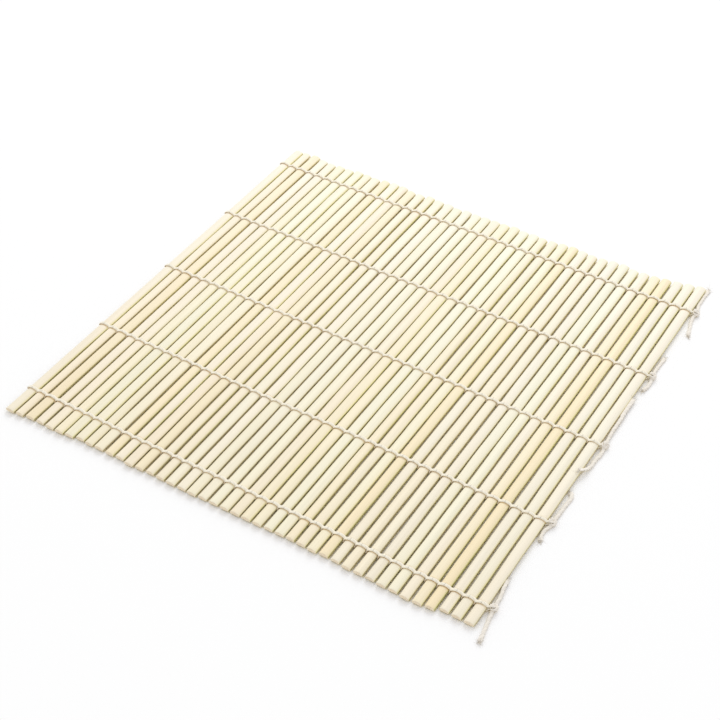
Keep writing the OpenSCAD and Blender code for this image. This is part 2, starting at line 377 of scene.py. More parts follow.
class Finish:
    """A material, or a world, whose nodes are added one by one."""

    def __init__(self, name, made=None):
        self.material = made or bpy.data.materials.new(name)
        self.material.use_nodes = True
        self.tree = self.material.node_tree
        self.tree.nodes.clear()

    def node(self, kind, settings=None, sockets=None, out=0):
        """Adds a node, sets it, gives its sockets values or links, and returns one of its outputs."""
        made = self.tree.nodes.new(kind)
        for key, value in (settings or {}).items():
            setattr(made, key, value)
        for key, value in (sockets or {}).items():
            if isinstance(value, Value):
                self.tree.links.new(value.socket, made.inputs[key])
            else:
                made.inputs[key].default_value = value
        return Value(self, made.outputs[out]) if made.outputs else None

    def place(self, scale):
        """The point on the object, stretched by scale on each axis."""
        where = self.node("ShaderNodeTexCoord", out="Object")
        return self.node("ShaderNodeVectorMath", {"operation": "MULTIPLY"}, {0: where, 1: scale})

    def part(self, where, axis):
        """One of the three numbers of a point."""
        return self.node("ShaderNodeSeparateXYZ", None, {0: where}, out=axis)

    def noise(self, where, detail=2.0, scale=1.0):
        """A number that wanders about 0.5 from place to place."""
        return self.node(
            "ShaderNodeTexNoise", None, {"Vector": where, "Scale": scale, "Detail": detail})

    def own(self, name):
        """A number kept at each point of the mesh."""
        return self.node("ShaderNodeAttribute", {"attribute_name": name}, out="Fac")

    def mix(self, factor, low, high, blend="MIX"):
        """A colour between low, at factor 0, and high, at factor 1."""
        settings = {"data_type": "RGBA", "blend_type": blend}
        return self.node("ShaderNodeMix", settings, {0: factor, 6: low, 7: high}, out=2)

    def grey(self, value):
        """A colour with the same number in its three parts."""
        return self.node("ShaderNodeCombineXYZ", None, {0: value, 1: value, 2: value})

    def shade(self, colour, roughness, height, rise, uniform=None):
        """Ends the material: a Principled shader with a bump of that height, rise in metres."""
        bump = self.node(
            "ShaderNodeBump", None, {"Strength": 1.0, "Distance": rise, "Height": height})
        sockets = {"Base Color": colour, "Roughness": roughness, "Normal": bump, **(uniform or {})}
        shader = self.node("ShaderNodeBsdfPrincipled", None, sockets)
        return self.end(shader)

    def end(self, shader, kind="ShaderNodeOutputMaterial"):
        """Gives the shader to the output, and returns the material or world."""
        self.node(kind, None, {"Surface": shader})
        return self.material


def colour(rgb):
    """A colour with full alpha."""
    return (*rgb, 1.0)


# How often each noise changes, per metre, across, along and up a slat, and on the string
STREAKS_AT = (650, 7, 650)
FIBRES_AT = (5200, 30, 5200)
PATCHES_AT = (90, 16, 90)
PORES_AT = (5200, 5200, 5200)
COTTON_PATCHES_AT = (420, 420, 420)
IN_MM = (1000, 1000, 1000)
HALF_LENGTH = 110


def bamboo_finish(look):
    """Split bamboo: long fine fibres and slow streaks, and warmer, greener and pinker slats by their own
    numbers. Painted shade dulls the near ends, where the light falls off. The right flank is olive,
    partly a greenish skin and partly painted shade on the side away from the lamp. The underside has a
    colour of its own. The lower split sides carry the painted brown shade of the spaces, mossy in
    places and darker at the near ends. The sawn ends are pored. Beside each row lies a tan line, partly
    a stain where the string rubs and partly the string's painted shadow, exp(-9 d^2) strong at d
    millimetres from its place."""
    f = Finish("Split bamboo")
    streak = f.noise(f.place(STREAKS_AT), 3)
    fibre = f.noise(f.place(FIBRES_AT), 2)
    patch = f.noise(f.place(PATCHES_AT), 2)
    along = f.part(f.place(IN_MM), 1)
    warmth = (f.own("warmth") + (patch - 0.5) * 0.5).clip(0, 1)
    base = f.mix(warmth, colour(look.pale), colour(look.warm))
    hue = (f.own("hue") + (patch - 0.5) * 0.6).clip(0, 1)
    base = f.mix(1.0, base, f.mix(hue, colour(look.cool), colour(look.rosy)), "MULTIPLY")
    # Painted shade: towards the near ends the colour is multiplied by the near colour, standing in for the light
    # falling off towards the front.
    near = (along * -1).clip(-HALF_LENGTH, HALF_LENGTH) * look.near_shade_share
    base = f.mix(near, base, f.mix(1.0, base, colour(look.near), "MULTIPLY"))
    across, height = f.own("across"), f.own("height")
    upright = height.ease(0.0, 0.12)
    # Partly painted shade: the right flank, the side away from the lamp, turns olive by each slat's own share,
    # partly the bamboo's greenish skin.
    flank = across.ease(0.62, 1.1) * f.own("green") * (0.5 + patch) * upright
    base = f.mix(flank.clip(0, 1), base, colour(look.green))
    base = f.mix(1 - upright, base, colour(look.under))
    # Painted shade: the lower split sides take the dark brown of the spaces' shade, mossy in places.
    painted_wall_shade = (1 - height).ease(0.44, 0.66) * look.side_shade_share * upright
    mossy = (f.own("green") * (patch * 3 - 0.9)).clip(0, 1)
    split = f.mix(mossy, colour(look.side), colour(look.moss))
    # Painted shade: the split sides darken further towards the near ends.
    darker = 1 - (along * -1).clip(10, HALF_LENGTH) * look.near_side_shade
    base = f.mix(painted_wall_shade, base, f.mix(1.0, split, f.grey(darker), "MULTIPLY"))
    pores = f.noise(f.place(PORES_AT), 1)
    sawn = f.mix(pores.ease(0.4, 0.62), colour(look.end), colour(look.pore))
    base = f.mix(f.own("end").ease(0.5, 1.0), base, sawn)
    # Partly a stain where the string rubs and partly the string's painted shadow: a tan line beside each row.
    spacing = ROW_Y[0] - ROW_Y[1]
    from_row = (along - ROW_SHIFT).math("WRAP", spacing / 2, -spacing / 2).math("ABSOLUTE")
    away = from_row - look.stain_and_shadow_place
    bell = (away * away * -9).math("EXPONENT")
    base = f.mix((bell * (patch * 2 - 0.3)).clip(0, 1) * look.stain_and_shadow_share, base, colour(look.stain_and_shadow_line))
    tone = 1 + (streak - 0.5) * look.streaks + (fibre - 0.5) * look.fibres
    base = f.mix(1.0, base, f.grey(tone * f.own("tone")), "MULTIPLY")
    rough = 0.46 + fibre * 0.12
    return f.shade(base, rough, fibre + streak * 0.5, 0.00003, {"Specular IOR Level": 0.3})


def string_finish(name, look, tint, plies, lower_shade, sunk):
    """Twisted cotton: plies wind round the string, fine fibres lie along them, painted shade darkens the
    hollows between plies and browns the string's lower side against the slats, and string sunk in a
    space is pinker."""
    f = Finish(name)
    where = f.node("ShaderNodeTexCoord", out="UV")
    u, v = f.part(where, 0), f.part(where, 1)
    phase = (u * plies - v) * TURN
    ply = (phase.math("SINE") * 0.5 + 0.5).clip(0, 1) ** 0.5
    twisted = f.node("ShaderNodeCombineXYZ", None, {0: (u * plies - v) * 3.0, 1: v * 1.1, 2: 0.0})
    fibre = f.noise(twisted, 3, 2.2)
    patch = f.noise(f.place(COTTON_PATCHES_AT), 2)
    # Painted shade: the hollows between plies are darker.
    tone = look.ply_hollow_shade + ply * (1 - look.ply_hollow_shade)
    height = f.part(f.place(IN_MM), 2)
    deep = (SLAT_TOP - height).ease(0.2, 1.1)
    base = f.mix((deep * sunk + patch * 0.8 - 0.4).clip(0, 1), colour(tint), colour(look.pink))
    base = f.mix(1.0, base, f.grey(tone * (0.94 + fibre * 0.12)), "MULTIPLY")
    # Painted shade: the string's lower side, towards the slats, turns brown.
    below = ((u * TURN + 0.6).math("SINE") * -1).ease(0.2, 0.9) * (0.6 + patch * 0.9)
    base = f.mix((below * lower_shade).clip(0, 1), base, colour(look.lower_shade))
    uniform = {"Sheen Weight": 0.25, "Sheen Roughness": 0.6, "Specular IOR Level": 0.2}
    return f.shade(base, 0.86 + fibre * 0.1, ply + fibre * 0.35, 0.00005, uniform)


# Settings


def rgb(name, text, default):
    """A setting that holds a colour."""
    return FloatVectorProperty(
        name=name, description=text, default=default, subtype="COLOR", min=0.0, max=1.0)


class MatSlatLook(bpy.types.PropertyGroup):
    """Shape and colours of the slats."""

    pale: rgb("Pale", "Colour of most slats", (0.98, 0.945, 0.80))
    warm: rgb("Warm", "Colour of the warmer slats", (1.0, 0.875, 0.63))
    # Partly painted shade on the right flank, away from the lamp, and partly a greenish skin.
    green: rgb("Olive", "Colour that some slats have along their right flank", (0.88, 0.82, 0.42))
    # Painted shade: the dark brown of the spaces, put on the split sides.
    side: rgb("Side", "Colour of the split sides", (0.62, 0.48, 0.19))
    cool: rgb("Cool", "What the colour of the greener slats is multiplied by", (0.985, 1.0, 0.97))
    rosy: rgb("Rosy", "What the colour of the pinker slats is multiplied by", (1.0, 0.98, 1.0))
    under: rgb("Underside", "Colour of the split underside", (0.92, 0.84, 0.62))
    # Painted shade: an olive tone of the spaces' shade, on the split sides in places.
    moss: rgb("Moss", "Colour of the greener places of the split sides", (0.68, 0.66, 0.20))
    # Painted shade: the near colour darkens the near ends, where the light falls off.
    near: rgb("Near", "What the colour is multiplied by at the near ends", (0.985, 0.95, 0.89))
    near_shade_share: FloatProperty(
        name="Near share", description="How much the near ends take of that", default=0.9,
        min=0, max=1)
    # Painted shade: how much darker the split sides are painted at the near ends.
    near_side_shade: FloatProperty(
        name="Near dark", description="How much darker the split sides are at the near ends",
        default=0.4, min=0, max=1)
    end: rgb("End", "Colour of the sawn ends", (0.97, 0.86, 0.66))
    pore: rgb("Pore", "Colour of the pores in the sawn ends", (0.82, 0.66, 0.44))
    # Partly a stain where the string rubs and partly the string's painted shadow.
    stain_and_shadow_line: rgb("Rub", "Colour of the line where the string rubs", (0.66, 0.45, 0.17))
    # Painted shade: how much of the spaces' brown shade the split sides take.
    side_shade_share: FloatProperty(
        name="Side share", description="How much of the side colour shows", default=0.8, min=0, max=1)
    stain_and_shadow_share: FloatProperty(
        name="Rub share", description="How strong the line under the string is", default=0.6,
        min=0, max=1)
    stain_and_shadow_place: FloatProperty(
        name="Rub place", description="Distance of the line from the row's middle (mm)",
        default=0.85, min=0, max=2)
    streaks: FloatProperty(
        name="Streaks", description="Depth of the slow streaks", default=0.14, min=0, max=1)
    fibres: FloatProperty(
        name="Fibres", description="Depth of the fine fibres", default=0.14, min=0, max=1)
    shoulder: FloatProperty(
        name="Shoulder", description="Rounding between a slat's side and crown (mm)",
        default=0.45, min=0.05, max=0.6)
    bow: FloatProperty(
        name="Bow", description="How far a slat bends sideways (mm)", default=0.07, min=0, max=0.1)
    uneven: FloatProperty(
        name="Uneven", description="How much a space's width changes along it (mm)",
        default=0.07, min=0, max=0.1)


class MatStringLook(bpy.types.PropertyGroup):
    """Shape and colours of the string."""

    tint: rgb("Cotton", "Colour of the twined string", (0.99, 0.93, 0.77))
    knot_tint: rgb("Knotted cotton", "Colour of knots and tails", (0.94, 0.885, 0.79))
    pink: rgb("Pink", "Colour of the string's pinker places", (0.98, 0.90, 0.83))
    # Painted shade: brown on the string's lower side, against the slats.
    lower_shade: rgb("Soil", "Colour of the string against the slats", (0.74, 0.56, 0.30))
    lower_shade_share: FloatProperty(
        name="Soil share", description="How strong the soil is", default=0.8, min=0, max=1)
    # Painted shade in the hollows between plies.
    ply_hollow_shade: FloatProperty(
        name="Hollow", description="Tone between two plies", default=0.9, min=0, max=1)
    width: FloatProperty(
        name="Width", description="Width of a strand over a slat (mm)", default=1.6, min=0.8, max=2)
    narrow: FloatProperty(
        name="Narrow", description="Width of a strand in a space (mm)", default=1.4, min=0.6, max=1.6)
    thickness: FloatProperty(
        name="Thickness", description="Thickness of a strand over a slat (mm)", default=0.74,
        min=0.4, max=1.0)
    thin: FloatProperty(
        name="Thin", description="Thickness of a strand in a space (mm)", default=0.55,
        min=0.3, max=0.7)
    spread: FloatProperty(
        name="Spread", description="Distance of a strand from the row's line in a space (mm)",
        default=0.75, min=0.3, max=0.9)
    sink: FloatProperty(
        name="Sink", description="How far the strands in a space lie nearer than the row's line (mm)",
        default=0.35, min=0, max=0.6)
    slant: FloatProperty(
        name="Slant", description="Distance of a strand from the row's line at a slat's edge (mm)",
        default=0.2, min=0, max=0.6)


class MatStageLook(bpy.types.PropertyGroup):
    """Floor, light and camera."""

    floor: rgb("Floor", "Colour of the floor", (1.0, 1.0, 1.0))
    # Painted shade: the floor's brown between slats, where the slats' sides would bounce warm light into the
    # shade.
    between: rgb("Between", "Colour of the floor between two slats", (0.86, 0.78, 0.60))
    sky: rgb("Sky", "Colour of the light from all round", (0.99, 0.985, 1.0))
    sky_level: FloatProperty(
        name="Sky level", description="Level of the light from all round", default=0.82, min=0, max=2)
    lamp_colour: rgb("Lamp colour", "Colour of the large lamp", (1.0, 0.995, 0.97))
    lamp_power: FloatProperty(
        name="Lamp power", description="Power of the large lamp", default=3.2, min=0, max=50,
        subtype="POWER")
    lamp_size: FloatProperty(
        name="Lamp size", description="Width of the large lamp", default=0.6, min=0.1, max=2,
        unit="LENGTH")
    lamp_at: FloatVectorProperty(
        name="Lamp place", description="Where the large lamp hangs", default=(-0.20, 0.70, 0.60),
        subtype="XYZ", unit="LENGTH")
    clear: FloatProperty(
        name="Clear", description="How much of the open floor is see-through", default=0.85,
        min=0, max=1)
    lens: FloatProperty(
        name="Lens", description="Focal length of the camera (mm)", default=71.585, min=20, max=200)


# Camera and stage

# Fitted to the mat's corners in the picture: the camera's place, and its right and down directions
CAMERA_AT = (0.26486, -0.41850, 0.46039)
CAMERA_RIGHT = (0.84674, 0.53179, -0.01502)
CAMERA_DOWN = (0.35485, -0.58560, -0.72880)


class ROLLINGMAT_OT_camera(bpy.types.Operator):
    """Puts the camera where the picture was taken from"""

    bl_idname = "rolling_mat.camera"
    bl_label = "Camera"

    def execute(self, context):
        data = bpy.data.cameras.new("Camera")
        data.lens = context.scene.rolling_mat_stage.lens
        data.sensor_width = 36.0
        data.clip_start, data.clip_end = 0.01, 20.0
        camera = bpy.data.objects.new("Camera", data)
        context.scene.collection.objects.link(camera)
        right = Vector(CAMERA_RIGHT).normalized()
        up = -Vector(CAMERA_DOWN)
        back = right.cross(up).normalized()
        up = back.cross(right)
        turn = Matrix((right, up, back)).transposed().to_4x4()
        camera.matrix_world = Matrix.Translation(CAMERA_AT) @ turn
        context.scene.camera = camera
        return {"FINISHED"}


def plane(name, reach, z, material):
    """A square floor at height z."""
    mesh = bpy.data.meshes.new(name)
    square = [(-reach, -reach, z), (reach, -reach, z), (reach, reach, z), (-reach, reach, z)]
    mesh.from_pydata(square, [], [(0, 1, 2, 3)])
    mesh.materials.append(material)
    made = bpy.data.objects.new(name, mesh)
    bpy.context.scene.collection.objects.link(made)
    return made


class ROLLINGMAT_OT_stage(bpy.types.Operator):
    """Lays the pale floor and hangs the soft lamp"""

    bl_idname = "rolling_mat.stage"
    bl_label = "Stage"

    def execute(self, context):
        look = context.scene.rolling_mat_stage
        # The open floor is mostly see-through, so a slat that hangs below it in a pose still shows.
        # Between slats, where little of the sky is seen from it, it takes a painted brown shade, standing in for
        # the shade and the warm light bounced from the slats' sides.
        f = Finish("Pale floor")
        grain = f.noise(f.place((3, 3, 3)), 1)
        tone = f.mix(grain * 0.02, colour(look.floor), colour((0.97, 0.98, 1.0)))
        open_share = f.node(
            "ShaderNodeAmbientOcclusion", {"samples": 8}, {"Distance": 0.02}, out="AO")
        tone = f.mix(open_share.ease(0.2, 0.45), colour(look.between), tone)
        solid = f.node("ShaderNodeBsdfDiffuse", None, {"Color": tone})
        glass = f.node("ShaderNodeBsdfTransparent")
        share = open_share.ease(0.8, 1.0) * look.clear
        shader = f.node("ShaderNodeMixShader", None, {0: share, 1: solid, 2: glass})
        plane("floor", 4.0, 0.0, f.end(shader))

        w = Finish("Sky", bpy.data.worlds.new("Sky"))
        ray = w.node("ShaderNodeLightPath", out="Is Camera Ray")
        glossy = w.node("ShaderNodeLightPath", out="Is Glossy Ray")
        either = w.node("ShaderNodeMath", {"operation": "MAXIMUM"}, {0: ray, 1: glossy})
        light = w.node("ShaderNodeBackground", None, {0: colour(look.sky), 1: look.sky_level})
        seen = w.node("ShaderNodeBackground", None, {0: colour((1.0, 1.0, 1.0)), 1: 1.0})
        shader = w.node("ShaderNodeMixShader", None, {0: either, 1: light, 2: seen})
        context.scene.world = w.end(shader, "ShaderNodeOutputWorld")

        data = bpy.data.lights.new("Soft lamp", "AREA")
        data.energy = look.lamp_power
        data.size = look.lamp_size
        data.color = look.lamp_colour
        lamp = bpy.data.objects.new("Soft lamp", data)
        lamp.location = look.lamp_at
        lamp.rotation_mode = "QUATERNION"
        lamp.rotation_quaternion = (-Vector(look.lamp_at)).to_track_quat("-Z", "Y")
        context.scene.collection.objects.link(lamp)
        context.scene.view_settings.view_transform = "Standard"
        return {"FINISHED"}


# Slats

# Rounding of a slat's lower edges and of its sawn ends, and distance of the first plain ring from an
# end (mm), then the number of plain rings
LOWER_EDGE = 0.3
SAWN_EDGE = 0.22
END_RING = 1.5
RINGS_BETWEEN = 59
# Waves along the slats: seed, size (share of the width or thickness, or mm) and length (mm)
SLAT_WIDENS = (100, 0.02, 70)
SLAT_THICKENS = (200, 0.02, 120)
SLAT_WANDERS = (300, 0.09, 80)
# The spaces open by so much (mm), from so far on the near side of the middle, over so long a way
NEAR_OPENS, NEAR_FROM, NEAR_OVER = 0.12, 20, 70
# Seed and length (mm) of the spaces' own waves, the share of a slat's height from which it leans fully,
# and how far the bow of one slat is ahead of the last one's (radians)
SPACE_SEED, SPACE_LENGTH = 350, 90
FULL_LEAN = 0.45
BOW_STEP = 0.6
# What a slat's own numbers are drawn from: its warmth (of warm slats, the others and the palest), the
# highest hue of a warm slat, the strength of its olive places, partly painted shade, and its tone. Then
# what a mild slat's warmth is multiplied by, the least hue of a pinker slat and the highest of a greener one.
WARM_WARMTH, PLAIN_WARMTH, PALEST_WARMTH = (0.6, 0.95), (0.1, 0.45), (0.0, 0.1)
WARM_HUE = 0.4
OLIVE_SHARE = (0.2, 1.0)
TONE = (0.975, 1.0)
MILD_SHARE, ROSY_HUE, GREENER_HUE = 0.6, 0.85, 0.2


def slat_outline(width, shoulder):
    """Outline of a slat in X and height above its bottom, from the crown's middle towards +X and
    round: the crown is an arc through the tops of the sides, and its shoulders and lower edges are
    bent corners."""
    half, rise = width / 2, SLAT_TOP - SLAT_BOTTOM - SLAT_SIDE
    radius = (half**2 + rise**2) / (2 * rise)
    reach = math.asin((half - 0.55 * shoulder) / radius)
    a = np.linspace(0, reach, 8)
    crown = np.stack([radius * np.sin(a), SLAT_SIDE + rise - radius + radius * np.cos(a)], axis=1)
    upper = bent_corner(crown[-1], (half, SLAT_SIDE), (half, SLAT_SIDE - shoulder), 5)[1:]
    lower = bent_corner((half, LOWER_EDGE), (half, 0.0), (half - LOWER_EDGE, 0.0), 4)
    floor = np.stack([np.linspace(half - LOWER_EDGE, 0, 4)[1:], np.zeros(3)], axis=1)
    right = np.concatenate([crown, upper, lower, floor])
    left = right[1:-1][::-1] * [-1, 1]
    return np.concatenate([right, left])


def leaning(space, y, look):
    """How far a slat's shoulder leans into the space beside it (mm): by the list, unevenly along the
    slat and less towards the near end, and not at all on the mat's outer sides."""
    if space < 0 or space >= len(SPACES):
        return 0 * y
    wave = wave_of(y, space, (SPACE_SEED, look.uneven, SPACE_LENGTH))
    return LEAN[space] + wave - NEAR_OPENS * smooth((-y - NEAR_FROM) / NEAR_OVER)


def slat_part(k, look):
    """A slat: its outline carried along Y in rings that are close at the two rounded ends and wider
    apart between, moved sideways by a slow bow and made a little wider and narrower by a ripple.
    From its bottom up it leans out more and more into the spaces, fully from nearly half its
    height."""
    width = SLAT_WIDTH[k]
    low, high = ROW_Y[-1] - NEAR_REACH[k], ROW_Y[0] + FAR_REACH[k]
    quarter = np.linspace(0, math.pi / 2, 4)
    opening, closing = SAWN_EDGE * (1 - np.sin(quarter)), SAWN_EDGE * (1 - np.cos(quarter))
    inset = np.concatenate([opening, np.zeros(RINGS_BETWEEN), closing])
    run = np.linspace(low + END_RING, high - END_RING, RINGS_BETWEEN)
    y = np.concatenate([low + closing, run, high - opening])
    outline = slat_outline(width, look.shoulder)
    tall = SLAT_TOP - SLAT_BOTTOM
    across, height = outline[:, 0] / (width / 2), outline[:, 1] / tall
    right, left = leaning(k, y, look)[:, None], leaning(k - 1, y, look)[:, None]
    out = np.where(across > 0, right, left) * smooth(height / FULL_LEAN)
    wide = (1 + wave_of(y, k, SLAT_WIDENS)) * (1 - 2 * inset / width)
    thick = (1 + wave_of(y, k, SLAT_THICKENS)) * (1 - 2 * inset / tall)
    x = (outline[:, 0] + across * out) * wide[:, None]
    z = tall / 2 + (outline[None, :, 1] - tall / 2) * thick[:, None]
    bow = look.bow * np.sin(math.pi * (y - low) / (high - low) + BOW_STEP * k)
    bow = bow + wave_of(y, k, SLAT_WANDERS)
    rings = np.stack(np.broadcast_arrays(
        SLAT_X[k] + x + bow[:, None], y[:, None], SLAT_BOTTOM + z), axis=-1)
    rng = np.random.default_rng(400 + k)
    warm = SLATS[k] in WARM
    warmth = rng.uniform(*(WARM_WARMTH if warm else PLAIN_WARMTH))
    if k in PALEST:
        warmth = rng.uniform(*PALEST_WARMTH)
    warmth *= MILD_SHARE if k in MILD else 1
    hue = rng.uniform(0, WARM_HUE if warm else 1)
    hue = max(hue, ROSY_HUE) if k in ROSY else min(hue, GREENER_HUE) if k in GREENER else hue
    green = rng.uniform(*OLIVE_SHARE)
    tone = rng.uniform(*TONE)
    end = np.zeros(len(y))
    end[[0, -1]] = 1.0
    end[[1, -2]] = 0.5
    return tube(
        rings, y, across=across[None], height=height[None],
        warmth=warmth, hue=hue, green=green, tone=tone, end=end[:, None])


class ROLLINGMAT_OT_slats(bpy.types.Operator):
    """Makes the bamboo slats"""

    bl_idname = "rolling_mat.slats"
    bl_label = "Slats"

    def execute(self, context):
        look = context.scene.rolling_mat_slats
        material = bamboo_finish(look)
        for k, node in enumerate(SLATS):
            made = put(f"bamboo_{node}", [slat_part(k, look)], material)
            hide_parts(node)
            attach(made, BODY_OF[node])
        return {"FINISHED"}


# String

STRAND_SIDES = 10
PLY_TURNS = 3
# Height at which two strands change places, how far round it they thin, the bend of a strand into a
# space, and the height of the strand below (mm)
CHANGE_Z = 1.38
DEPTH = 0.75
SPACE_BEND = 0.5
UNDER_Z = 0.43
# The string where it lifts past the first slat and runs into a knot: width and thickness (mm)
FOLD_STRING = (0.95, 0.72)
FOLD_OUT = 0.06
KNOT_END_STRING = (1.05, 0.8)
# For the strand above and the one below: how many points of its last half crossing are kept before it
# leads to the knot, and where it enters the knot, from the knot's middle (mm)
KEPT = {True: 5, False: 6}
KNOT_ENTRY = {True: (-0.3, -0.1, 0.3), False: (-0.3, -0.5, -0.4)}
# Waves along the string: seed, size and length (mm)
STRAND_WANDERS = (500, 0.08, 17)
ROW_WANDERS = (520, 0.25, 130)
STRAND_WIDENS = (540, 0.06, 9)


def over_line(width, look):
    """Middle line of the strand over a slat, in X from the slat's middle and in height: up in the
    space, round a small bend, along an arc that lies on the crown, and down the same way."""
    half = (width + SPACE) / 2
    rise = SLAT_TOP - SLAT_BOTTOM - SLAT_SIDE
    crown = ((width / 2) ** 2 + rise**2) / (2 * rise)
    radius = crown + look.thickness / 2
    centre = SLAT_TOP - crown
    inner = radius - SPACE_BEND
    tilt = math.asin((half - SPACE_BEND) / inner)
    bend_x, bend_z = inner * math.sin(tilt), centre + inner * math.cos(tilt)
    a = np.linspace(0, tilt, 5)
    arc = np.stack([radius * np.sin(a), centre + radius * np.cos(a)], axis=1)
    b = np.linspace(tilt, math.pi / 2, 4)[1:]
    small = np.stack([bend_x + SPACE_BEND * np.sin(b), bend_z + SPACE_BEND * np.cos(b)], axis=1)
    right = np.concatenate([arc, small, [(half, CHANGE_Z)]])
    return np.concatenate([right[::-1] * [-1, 1], right[1:]])


def under_line(width):
    """Middle line of the strand under a slat: down in the space, round a small bend and straight."""
    half = (width + SPACE) / 2
    run = np.stack([np.linspace(0, half - SPACE_BEND, 5), np.full(5, UNDER_Z)], axis=1)
    b = np.linspace(0, math.pi / 2, 4)[1:]
    out, up = half - SPACE_BEND, UNDER_Z + SPACE_BEND
    small = np.stack([out + SPACE_BEND * np.sin(b), up - SPACE_BEND * np.cos(b)], axis=1)
    right = np.concatenate([run, small, [(half, CHANGE_Z)]])
    return np.concatenate([right[::-1] * [-1, 1], right[1:]])


def crossing(k, row, over, look):
    """One strand's crossing of slat k, from the middle of one space to the middle of the next. On the
    slat it keeps to the row's line, slanting a little. Down in a space it moves aside, narrows and
    thins, to pass the other strand."""
    width = SLAT_WIDTH[k]
    flat = over_line(width, look) if over else under_line(width)
    share = flat[:, 0] / ((width + SPACE) / 2)
    deep = 1 - smooth(np.abs(flat[:, 1] - CHANGE_Z) / DEPTH)
    side = look.slant * share + (look.spread - look.slant) * np.sign(share) * deep
    x = SLAT_X[k] + flat[:, 0]
    strand = 2 * row + (k + over) % 2
    y = ROW_Y[row] + ROW_SHIFT - look.sink * deep + side * (1 if over else -1)
    y = y + wave_of(x, strand, STRAND_WANDERS) + wave_of(x, row, ROW_WANDERS)
    line = np.stack([x, y, flat[:, 1]], axis=1)
    wide = look.width + (look.narrow - look.width) * deep + wave_of(x, strand, STRAND_WIDENS)
    thick = look.thickness + (look.thin - look.thickness) * deep
    return line, wide, thick


def strand_part(line, wide, thick, turns):
    """A closed tube along a strand's line. V counts turns of the plies, so it fits at both ends."""
    run = length_along(line)
    rings = carry(line, (0, 1, 0), wide, thick, STRAND_SIDES)
    return tube(rings, turns[0] + (turns[1] - turns[0]) * run / run[-1])


def half_crossing(k, row, over, right, look):
    """The right or left half of a crossing, as a closed tube."""
    line, wide, thick = crossing(k, row, over, look)
    mid = len(line) // 2
    part = slice(mid, None) if right else slice(0, mid + 1)
    turns = (PLY_TURNS / 2, PLY_TURNS) if right else (0, PLY_TURNS / 2)
    return line[part], wide[part], thick[part], turns


def joined(first, second):
    """Two runs of one strand as one run; the second starts where the first ends."""
    turns = (first[3][0], first[3][1] + second[3][1] - second[3][0])
    return tuple(np.concatenate([a, b[1:]]) for a, b in zip(first[:3], second[:3])) + (turns,)


class ROLLINGMAT_OT_string_rows(bpy.types.Operator):
    """Makes the rows of twined string, one piece for each space between slats"""

    bl_idname = "rolling_mat.string_rows"
    bl_label = "Rows of string"

    def execute(self, context):
        look = context.scene.rolling_mat_string
        material = string_finish("Twined cotton", look, look.tint, 3, look.lower_shade_share, 1.0)
        rows = range(len(ROWS))
        for k, x in enumerate(SPACES):
            parts = []
            for row in rows:
                for over in (True, False):
                    first = half_crossing(k, row, over, True, look)
                    second = half_crossing(k + 1, row, not over, False, look)
                    parts.append(strand_part(*joined(first, second)))
            made = put(f"strings_{k + 1:02d}_{k + 2:02d}", parts, material)
            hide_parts(*ROWS)
            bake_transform(made)
        made = put("strings_fold", [fold_part(row, look) for row in rows], material)
        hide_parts(*ROWS)
        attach(made, BODY_OF[SLATS[0]])
        parts = [part for row in rows for part in last_parts(row, look)]
        # Less painted shade on the lower side of the string led to the knots.
        less_shaded_cotton = string_finish("Cotton led to the knots", look, look.tint, 3, 0.25, 0.0)
        made = put("strings_last", parts, less_shaded_cotton)
        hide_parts(*ROWS)
        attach(made, BODY_OF[SLATS[-1]])
        return {"FINISHED"}


def fold_part(row, look):
    """The string folded round the first slat's outer side: the strand below, turned back, then up the
    side while it crosses the row's line, then the strand above."""
    over = half_crossing(0, row, True, False, look)
    under = half_crossing(0, row, False, False, look)
    below = tuple(v[:0:-1] for v in under[:3])
    above = tuple(v[1:] for v in over[:3])
    start, end, share = below[0][-1], above[0][0], np.linspace(0, 1, 5)
    lift = np.linspace(start, end, 5)[1:-1]
    lift[:, 1] = start[1] + (end[1] - start[1]) * smooth(share[1:-1])
    lift[:, 0] -= FOLD_OUT
    line = np.concatenate([below[0], lift, above[0]])
    wide = np.concatenate([below[1], np.full(3, FOLD_STRING[0]), above[1]])
    thick = np.concatenate([below[2], np.full(3, FOLD_STRING[1]), above[2]])
    return strand_part(line, wide, thick, (PLY_TURNS / 2, 2 * PLY_TURNS - PLY_TURNS / 2))


def last_parts(row, look):
    """The strands above and below the last slat, led from its outer side into the knot."""
    knot = middle(KNOTS[row])
    parts = []
    for over in (True, False):
        line, wide, thick, turns = half_crossing(len(SLATS) - 1, row, over, True, look)
        keep, end = KEPT[over], knot + KNOT_ENTRY[over]
        midway = (line[keep] + end) / 2 + [0.1, 0, 0.1]
        rest = curve_through([line[keep - 2], line[keep - 1], midway, end], 0.35)
        run = length_along(line)
        rest = rest[length_along(rest) > run[keep - 1] - run[keep - 2] + 0.1]
        whole = np.concatenate([line[:keep], rest])
        wide = np.concatenate([wide[:keep], np.full(len(rest), KNOT_END_STRING[0])])
        thick = np.concatenate([thick[:keep], np.full(len(rest), KNOT_END_STRING[1])])
        parts.append(strand_part(whole, wide, thick, (turns[0], turns[1] + 1.0)))
    return parts


# Knots and tails

# The knot's line: radius of its ring, radius of its way through the ring, and how much taller than
# wide that way is. Then the radius of its string, and half the distance of its two strings (mm).
KNOT_RING, KNOT_THROUGH, KNOT_TALL = 0.92, 0.62, 1.3
KNOT_STRING, KNOT_APART = 0.42, 0.33
# Rings along the knot's line, sides of a ring, turns of the string's lobes, turns of its plies, and how
# uneven the line is (mm)
KNOT_RINGS, KNOT_SIDES, KNOT_LOBE_TURNS, KNOT_PLY_TURNS, KNOT_UNEVEN = 109, 12, 5, 12, 0.04
# A tail's width and thickness, what the loose end adds to one and takes from the other, the length of
# one turn of its plies, and its waves (mm)
TAIL_WIDE, TAIL_THICK, TAIL_LOOSE, TAIL_TURN = 1.65, 1.15, 0.45, 3.4
